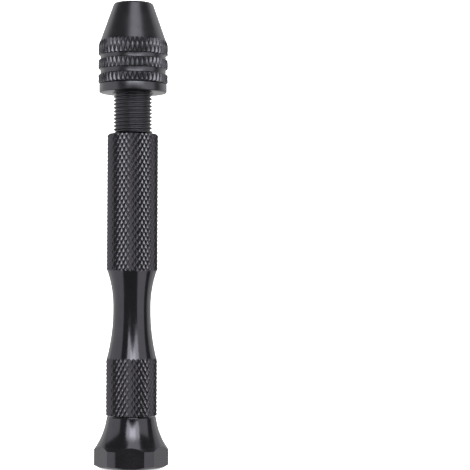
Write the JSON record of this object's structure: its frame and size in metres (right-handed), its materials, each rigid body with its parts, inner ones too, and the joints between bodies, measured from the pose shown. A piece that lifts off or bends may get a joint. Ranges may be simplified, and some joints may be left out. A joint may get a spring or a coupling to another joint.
{
  "type": "pin vise drill",
  "caption": "Slim black hand drill: keyless jaw chuck on a threaded nose, diamond-knurled handle with a waist, and a hexagonal palm cap that swivels on a ball bearing.",
  "frame": {"origin": "centre of the palm cap's flat end face, which the drill stands on", "axes": "+Z along the drill's axis from the palm cap to the chuck's nose; -Y out of one of the cap's six flats; +X towards the corner between two flats"},
  "size_m": [0.0152, 0.0142, 0.095],
  "materials": {
    "black_anodised_aluminium": "black anodised, satin",
    "black_oxide_steel": "black oxide, satin turned",
    "jaw_steel": "hardened and ground",
    "bearing_steel": "polished bearing steel",
    "plain_steel": "zinc plated",
    "cage_nylon": "natural nylon"
  },
  "bodies": {
    "handle_body": {"handle": "black_anodised_aluminium", "bearing_inner_ring": "bearing_steel", "pivot_washer": "plain_steel", "pivot_screw": "plain_steel"},
    "cap_body": {"end_cap": "black_anodised_aluminium", "bearing_outer_ring": "bearing_steel", "bearing_shield_lower": "bearing_steel", "bearing_shield_upper": "bearing_steel"},
    "ball_set": {"bearing_cage": "cage_nylon", "bearing_ball_1": "bearing_steel", "bearing_ball_2": "bearing_steel", "bearing_ball_3": "bearing_steel", "bearing_ball_4": "bearing_steel", "bearing_ball_5": "bearing_steel", "bearing_ball_6": "bearing_steel", "bearing_ball_7": "bearing_steel"},
    "chuck_core": {"chuck_body": "black_oxide_steel"},
    "sleeve_body": {"chuck_sleeve": "black_oxide_steel", "nut_half_1": "plain_steel", "nut_half_2": "plain_steel"},
    "jaw_body_1": {"jaw_1": "jaw_steel"},
    "jaw_body_2": {"jaw_2": "jaw_steel"},
    "jaw_body_3": {"jaw_3": "jaw_steel"}
  },
  "joints": [
    {"name": "cap_spin", "type": "hinge", "parent": "handle_body", "child": "cap_body", "pos_m": [0, 0, 0.0074], "axis": [0, 0, 1], "continuous": true},
    {"name": "ball_set_spin", "type": "hinge", "parent": "handle_body", "child": "ball_set", "pos_m": [0, 0, 0.0074], "axis": [0, 0, 1], "continuous": true},
    {"name": "chuck_unscrew", "type": "slide", "parent": "handle_body", "child": "chuck_core", "axis": [0, 0, 1], "range_m": [0, 0.0045]},
    {"name": "sleeve_turn", "type": "hinge", "parent": "chuck_core", "child": "sleeve_body", "pos_m": [0, 0, 0.085], "axis": [0, 0, 1], "range_deg": [0, 2160]},
    {"name": "jaw_1_slide", "type": "slide", "parent": "chuck_core", "child": "jaw_body_1", "axis": [0.342, 0, -0.9397], "range_m": [0, 0.0048]},
    {"name": "jaw_2_slide", "type": "slide", "parent": "chuck_core", "child": "jaw_body_2", "axis": [-0.171, 0.2962, -0.9397], "range_m": [0, 0.0048]},
    {"name": "jaw_3_slide", "type": "slide", "parent": "chuck_core", "child": "jaw_body_3", "axis": [-0.171, -0.2962, -0.9397], "range_m": [0, 0.0048]}
  ],
  "couplings": [
    {"joint": "ball_set_spin", "follows": "cap_spin", "ratio": 0.6364},
    {"joint": "jaw_1_slide", "follows": "sleeve_turn", "m_per_rad": 0.00012732},
    {"joint": "jaw_2_slide", "follows": "sleeve_turn", "m_per_rad": 0.00012732},
    {"joint": "jaw_3_slide", "follows": "sleeve_turn", "m_per_rad": 0.00012732}
  ]
}
